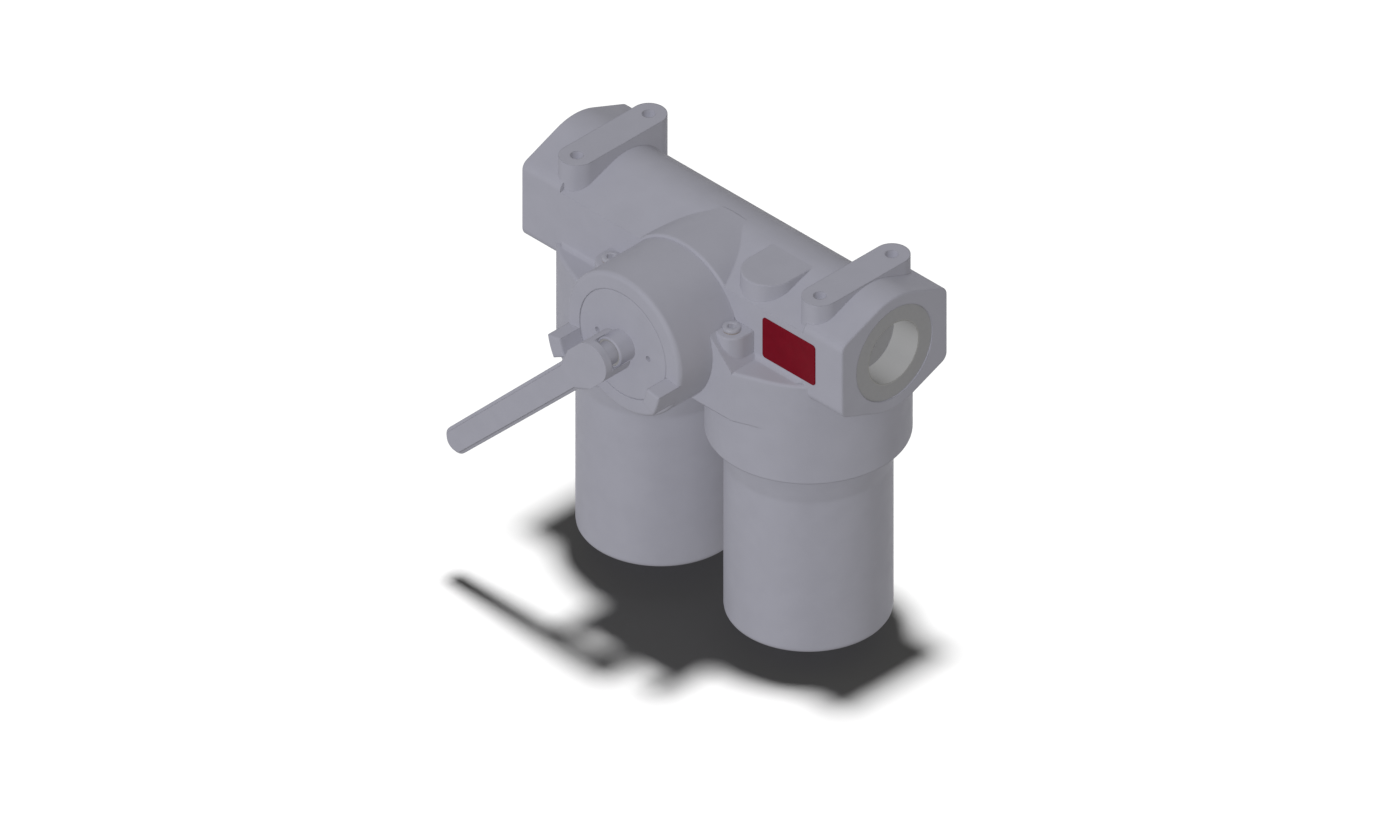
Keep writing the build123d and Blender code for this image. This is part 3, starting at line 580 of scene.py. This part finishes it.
# %% [markdown]
# ## Bowls
# Each bowl is a turned cup: a threaded neck with a seal groove, a flared shoulder, a straight
# wall with a rounded foot, and a hexagon for the wrench. One closed section turned round the
# axis gives all of it, inside and out. The thread is cut into the neck, so it shows when the
# bowl is off, and the socket above gets the ridges that go into it. A thread is a row of its
# low end, high end, pitch, depth, groove width and side, in the order turned_grid takes them.

# %% Bowl skins
bowl_x = 67
sides = ((-1, "left"), (1, "right"))
round_points, screw_points = 180, 96
wrench_flats = 36.0
bowl_section = [
    (6.58, -294.0, 0.4), (18.6, -294.0, 0.0), (20.9, -292.7, 0.0), (20.9, -280.3, 0.0),
    (23.0, -280.3, 0.0), (54.5, -280.3, 4.0), (54.5, -162.1, 2.0), (59.5, -140.2, 0.3),
    (59.5, -139.2, 0.3), (58.0, -139.2, 0.1), (58.0, -116.5, 0.6), (55.0, -116.5, 0.3),
    (55.0, -111.6, 0.2), (52.0, -111.6, 0.1), (52.0, -108.4, 0.1), (55.0, -108.4, 0.2),
    (55.0, -104.5, 1.0), (49.5, -104.5, 0.4), (49.5, -274.3, 3.0), (6.58, -274.3, 0.3),
]
neck_thread = (-138.6, -117.2, 3.0, 1.5, 0.5, 57.0)
bowl_line = cut_runs(eased(bowl_section), 0.3, -139.0, -116.6)
# the rows of the foot that a wrench grips
bowl_flats = (bowl_line[:, 1] < -280.29) & (bowl_line[:, 0] > 8) & (bowl_line[:, 0] < 21)
for side, name in sides:
    centre = (bowl_x * side, 0)
    grid = turned_grid(bowl_line, centre, round_points, wrench_flats, bowl_flats, neck_thread)
    skin(f"bowl_skin_{name}", grid, True, f"bowl_{name}", "bowl_aluminium", [f"filter_bowl_{name}"])

# %% Ridges of the sockets
ridge_section = [(60.0, -138.2, 0.0), (60.0, -116.4, 0.0), (58.5, -116.4, 0.0), (58.5, -138.2, 0.0)]
ridge_line = cut_runs(np.array(ridge_section)[:, :2], 0.3, -138.3, -116.3)
socket_thread = (-138.2, -116.4, 3.0, 1.6, 0.18, 57.0)
for side, name in sides:
    whole = turned_grid(ridge_line, (bowl_x * side, 0), round_points)
    ridged = turned_grid(ridge_line, (bowl_x * side, 0), round_points, thread=socket_thread)
    inner = (ridge_line[:, 0] < 59)[:, None, None]
    grid = np.where(inner, ridged, whole)
    skin(f"socket_thread_{name}", grid, True, "housing", "cast_aluminium")

# %% [markdown]
# ## Plugs and screws
# The drain plug is a hexagon bolt with its corners turned off, which is the smaller of a cone
# and a hexagon. The vent screw has a round collar with a hexagon socket, the same formula with
# the hexagon inside.

# %% Drain plugs and vent screws
plug_flats, key_flats = 19.0, 5.0
vent_x, vent_y = 54.6, -57.0
plug_section = np.array([
    (4.0, -302.0), (8.6, -302.0), (9.6, -301.4), (10.97, -300.6), (10.97, -296.9), (9.6, -296.1),
    (9.2, -295.5), (6.53, -295.5), (6.53, -282.3), (5.8, -281.5), (3.0, -281.5),
])
plug_line = cut_runs(plug_section, 0.25, -295.4, -282.0)
plug_thread = (-294.8, -281.9, 1.337, 0.75, 0.4, 6.0)
vent_section = np.array([
    (1.5, -42.5), (2.9, -42.5), (2.9, -39.5), (3.2, -39.1), (5.4, -39.1), (6.0, -39.35),
    (6.2, -39.9), (6.2, -41.2), (6.0, -41.5), (4.2, -41.5), (4.2, -51.8), (3.6, -52.3),
    (2.0, -52.3),
])
vent_line = cut_runs(vent_section, 0.2, -51.9, -41.6)
vent_thread = (-51.9, -42.0, 1.0, 0.6, 0.4, 4.0)
# the rows of the plug's head and those of the screw's socket
head_rows = (plug_line[:, 1] < -295.6) & (plug_line[:, 0] > 5)
key_rows = (vent_line[:, 1] > -42.6) & (vent_line[:, 0] < 3.0) & (vent_line[:, 0] > 2)
for side, name in sides:
    centre = (bowl_x * side, 0)
    grid = turned_grid(plug_line, centre, screw_points, plug_flats, head_rows, plug_thread)
    skin(f"drain_bolt_{name}", grid, False, f"drain_{name}", "steel", [f"drain_plug_{name}"])
    centre = (vent_x * side, vent_y)
    grid = turned_grid(vent_line, centre, screw_points, key_flats, key_rows, vent_thread)
    skin(f"vent_bolt_{name}", grid, False, f"vent_{name}", "steel", [f"vent_screw_{name}"])

# %% [markdown]
# ## Folded mat
# A filter mat is folded into pleats with round tips. Its middle line is a rounded zigzag, the
# arcsine of a sine a little under full height, round the core. The mat is that line moved out
# and in along its normal by half its thickness, and its UV map runs in metres along the fold,
# so the wire cloth follows it.

# %% Pleated mats
pleats, points_per_pleat = 36, 16
columns = pleats * points_per_pleat
mean_radius, fold_reach, tip_roundness = 34.4, 7.9, 0.985
turn = np.linspace(0, 2 * math.pi, columns, endpoint=False)
zigzag = np.arcsin(tip_roundness * np.sin(pleats * turn)) / np.arcsin(tip_roundness)
mat_radius = mean_radius + fold_reach * zigzag
middle = np.column_stack([mat_radius * np.cos(turn), mat_radius * np.sin(turn)])
along = np.roll(middle, -1, axis=0) - np.roll(middle, 1, axis=0)
normal = np.column_stack([along[:, 1], -along[:, 0]]) / np.linalg.norm(along, axis=1, keepdims=True)
steps = np.linalg.norm(np.roll(middle, -1, axis=0) - middle, axis=1)
fold_length = np.concatenate([[0], np.cumsum(steps)])
mat_low, mat_high, half_mat = -256.0, -114.0, 0.45
mat_rows = [(half_mat, mat_low), (half_mat, mat_high), (-half_mat, mat_high), (-half_mat, mat_low)]


def mat_uv(mesh):
    """UV of each face corner: metres along the fold and metres up the mat. In the faces that
    close the ring, column 0 counts as the one after the last."""
    corner = np.zeros(len(mesh.loops), int)
    mesh.loops.foreach_get("vertex_index", corner)
    row, column = corner // columns, corner % columns
    start = np.zeros(len(mesh.polygons), int)
    mesh.polygons.foreach_get("loop_start", start)
    total = np.zeros(len(mesh.polygons), int)
    mesh.polygons.foreach_get("loop_total", total)
    last = np.repeat(np.maximum.reduceat(column, start) == columns - 1, total)
    wraps = np.repeat(np.minimum.reduceat(column, start) == 0, total)
    column = np.where(last & wraps & (column == 0), columns, column)
    height = np.array([h for _, h in mat_rows])[row]
    uv = np.column_stack([fold_length[column], height]) / 1000
    mesh.uv_layers.new(name="fold").data.foreach_set("uv", uv.ravel())


for side, name in sides:
    rows = []
    for offset, height in mat_rows:
        ring = middle + offset * normal + (bowl_x * side, 0)
        rows.append(np.column_stack([ring, np.full(columns, height)]))
    grid = np.array(rows) / 1000
    replaced = [f"element_pleats_{name}"]
    mat = skin(f"pleated_mat_{name}", grid, True, "housing", "filter_mat", replaced)
    mat_uv(mat.data)

# %% [markdown]
# ## Bypass springs
# Inside each element a spring holds the bypass poppet shut, and the poppet squeezes it when it
# opens. A spring is a round wire on a helix, whose turns lie closer at both ends.

# %% Coil springs
wire_radius, wire_points = 0.8, 12
coil_turns, steps_per_turn, end_rate = 5, 36, 0.45


def coil(low, high, centre, outer):
    """Wire on a helix, in mm: a circle of wire_radius stands across the line (R cos a, R sin a,
    h(a)). It is spanned by the outward direction and the product of that and the tangent. The
    rise of h is full in the middle turns and falls to the share end_rate at both ends."""
    turned = np.linspace(0, coil_turns, steps_per_turn * coil_turns + 1)
    rate = np.clip(np.minimum(turned, coil_turns - turned), end_rate, 1)
    climb = np.concatenate([[0], np.cumsum((rate[1:] + rate[:-1]) / 2)])
    height = low + wire_radius + (high - low - 2 * wire_radius) * climb / climb[-1]
    angle = 2 * math.pi * turned
    outward = np.column_stack([np.cos(angle), np.sin(angle), 0 * angle])
    line = (outer - wire_radius) * outward + np.column_stack([0 * angle, 0 * angle, height])
    tangent = np.gradient(line, axis=0)
    across = np.cross(tangent, outward)
    across = across / np.linalg.norm(across, axis=1, keepdims=True)
    round_wire = np.linspace(0, 2 * math.pi, wire_points, endpoint=False)[None, :, None]
    ring = np.cos(round_wire) * outward[:, None] + np.sin(round_wire) * across[:, None]
    return (line[:, None] + wire_radius * ring + (centre[0], centre[1], 0)) / 1000


for side, name in sides:
    spring_low, spring_high = (1000 * np.array(end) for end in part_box(f"bypass_spring_{name}"))
    outer = (spring_high[0] - spring_low[0]) / 2
    grid = coil(spring_low[2], spring_high[2], (bowl_x * side, 0), outer)
    spring = skin(f"coil_spring_{name}", grid, False, "housing", "steel", [f"bypass_spring_{name}"])
    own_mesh(spring)

# %% [markdown]
# ## Lever edge
# The lever is die cast, and a raised panel runs down its arm. Beside the panel the face drops
# over a small step and slopes away to the rim. The solid has a square ledge there, and this
# piece fills it: a section with that slope, carried down one side of the arm, round its tip
# and up the other side. The section's pairs are the way out from the panel and the depth under
# its face. The slope starts from nothing where the arm leaves the hub.

# %% Slope along the arm
arm_angle = math.radians(225)
shoulder, arm_start, arm_end, arm_reach = 14.6, 29.6, 183, 192.6
fade_length = 15
panel_half = [12.2, 8.2, 7.4]
face_front = [130.6, 130.1, 123.5]
slope_section = np.array([(-0.3, 3.02), (0.0, 0.03), (0.4, 0.95), (2.1, 1.85), (2.1, 3.02)])
slope_start, even_start = 16, 33
start_points, arm_points, tip_points = 8, 40, 25


def panel_edge():
    """Rim of the panel as (along, aside) in mm: t and the half width at t on one side, half a
    circle round the tip, and the same line back on the other side."""
    start = np.linspace(slope_start, arm_start, start_points)
    t = np.concatenate([start, np.linspace(even_start, arm_end, arm_points)])
    straight = np.column_stack([t, np.interp(t, [shoulder, arm_start, arm_end], panel_half)])
    turn = np.linspace(math.pi / 2, -math.pi / 2, tip_points)[1:-1]
    tip_radius = panel_half[-1]
    tip = np.column_stack([arm_end + tip_radius * np.cos(turn), tip_radius * np.sin(turn)])
    return np.concatenate([straight, tip, straight[::-1] * (1, -1)])


edge = panel_edge()
ahead = np.gradient(edge, axis=0)
outward = np.column_stack([-ahead[:, 1], ahead[:, 0]])
outward = outward / np.linalg.norm(ahead, axis=1, keepdims=True)
spot = edge[:, None] + slope_section[None, :, :1] * outward[:, None]
fade = np.clip((edge[:, :1] - shoulder) / fade_length, 0, 1)
depth = slope_section[None, :, 1] * fade
face = np.interp(edge[:, :1], [shoulder, arm_start, arm_reach], face_front)
arm_x = spot[..., 0] * math.cos(arm_angle) - spot[..., 1] * math.sin(arm_angle)
arm_z = spot[..., 0] * math.sin(arm_angle) + spot[..., 1] * math.cos(arm_angle)
grid = np.stack([arm_x, depth - face, arm_z + 1000 * valve_axis[1]], axis=-1) / 1000
skin("lever_slope", grid, False, "changeover_valve", "lever_aluminium")

# %% [markdown]
# ## Plate
# The plate on the front wall is stamped from sheet and enamelled, so its edge rolls over. A
# rounded rectangle, drawn in toward the middle as it rises, gives that edge. Each step is how
# far the rectangle is drawn in and how far it stands in front of the wall.

# %% Bare plate
plate_low, plate_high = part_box("label_plate")
plate_size = 1000 * np.array(plate_high - plate_low)
plate_middle = 1000 * np.array(plate_high + plate_low) / 2
corner_radius, corner_points = 2.5, 9
quarter = np.linspace(0, math.pi / 2, corner_points)
corner_angle = np.concatenate([quarter + k * math.pi / 2 for k in range(4)])
quadrant = np.repeat([(1, 1), (-1, 1), (-1, -1), (1, -1)], corner_points, axis=0)
edge_steps = [(0.0, 0.0), (0.0, 0.45), (0.08, 0.66), (0.26, 0.78), (0.5, 0.8)]


def plate_ring(inset, rise):
    """Rounded rectangle inset from the plate's rim, rise in front of the wall: the centre of
    each corner's circle, plus the radius that is left times (cos a, sin a)."""
    left = corner_radius - inset
    along = quadrant[:, 0] * (plate_size[0] / 2 - corner_radius) + left * np.cos(corner_angle)
    up = quadrant[:, 1] * (plate_size[2] / 2 - corner_radius) + left * np.sin(corner_angle)
    front = np.full(len(corner_angle), 1000 * plate_high.y - rise)
    return np.column_stack([plate_middle[0] + along, front, plate_middle[2] + up])


plate_grid = np.array([plate_ring(*step) for step in edge_steps]) / 1000
skin("bare_plate", plate_grid, False, "housing", "label", ["label_plate"])
